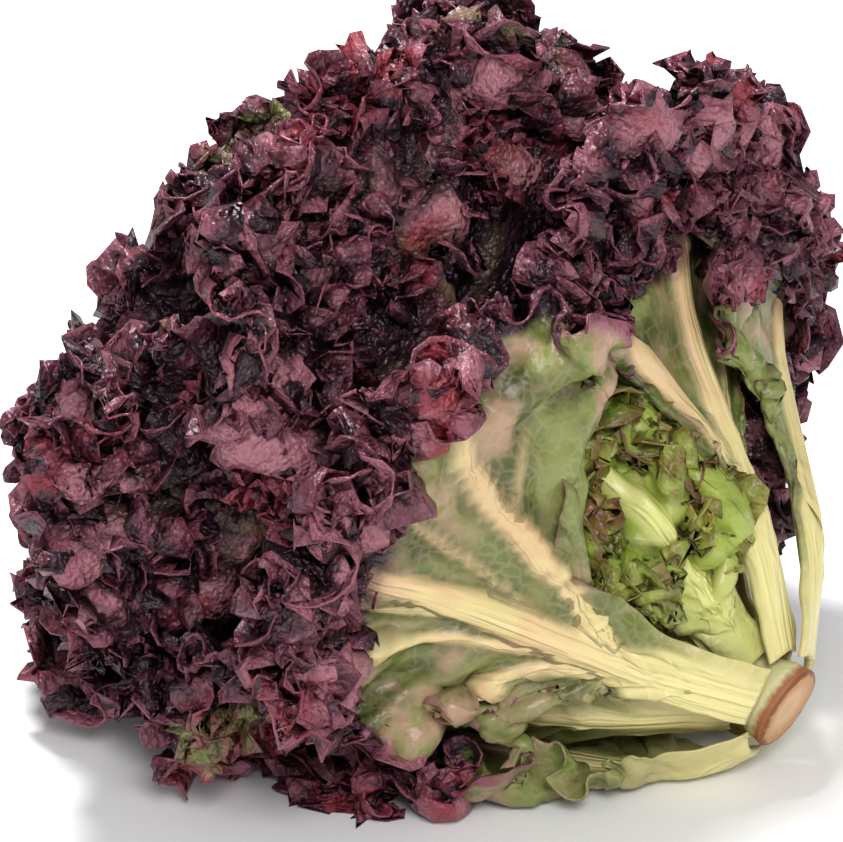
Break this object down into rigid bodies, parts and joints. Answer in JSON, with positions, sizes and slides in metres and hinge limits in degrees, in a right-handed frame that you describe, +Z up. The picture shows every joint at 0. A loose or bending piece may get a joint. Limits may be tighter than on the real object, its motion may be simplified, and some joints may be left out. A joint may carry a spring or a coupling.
{
  "type": "red leaf lettuce",
  "caption": "Head of red leaf lettuce cut at the stem and lying on its side: pale forked midribs fan out from the stem into dark red frilled leaves, with one short green leaf",
  "frame": {"origin": "on the surface that the head lies on, at the middle of the head's bounding box", "axes": "+Z up, +X from the leaf tips towards the cut stem, -Y towards the side with the short green leaf"},
  "size_m": [0.2546, 0.2526, 0.2081],
  "materials": {
    "red_leaf": "satin",
    "green_leaf": "satin",
    "stem": "satin"
  },
  "bodies": {
    "root": {"leaf_01": "red_leaf", "leaf_02": "red_leaf", "leaf_03": "red_leaf", "leaf_04": "red_leaf", "leaf_05": "green_leaf", "leaf_06": "red_leaf", "leaf_07": "red_leaf", "leaf_08": "red_leaf", "leaf_09": "red_leaf", "leaf_10": "red_leaf", "leaf_11": "red_leaf", "leaf_12": "red_leaf", "leaf_13": "red_leaf", "leaf_14": "red_leaf", "leaf_15": "red_leaf", "leaf_16": "red_leaf", "leaf_17": "red_leaf", "leaf_18": "red_leaf", "leaf_19": "red_leaf", "leaf_20": "red_leaf", "leaf_21": "red_leaf", "leaf_22": "red_leaf", "leaf_23": "red_leaf", "leaf_24": "red_leaf", "leaf_25": "red_leaf", "leaf_26": "red_leaf", "leaf_27": "red_leaf", "leaf_28": "red_leaf", "stem": "stem"}
  },
  "joints": []
}
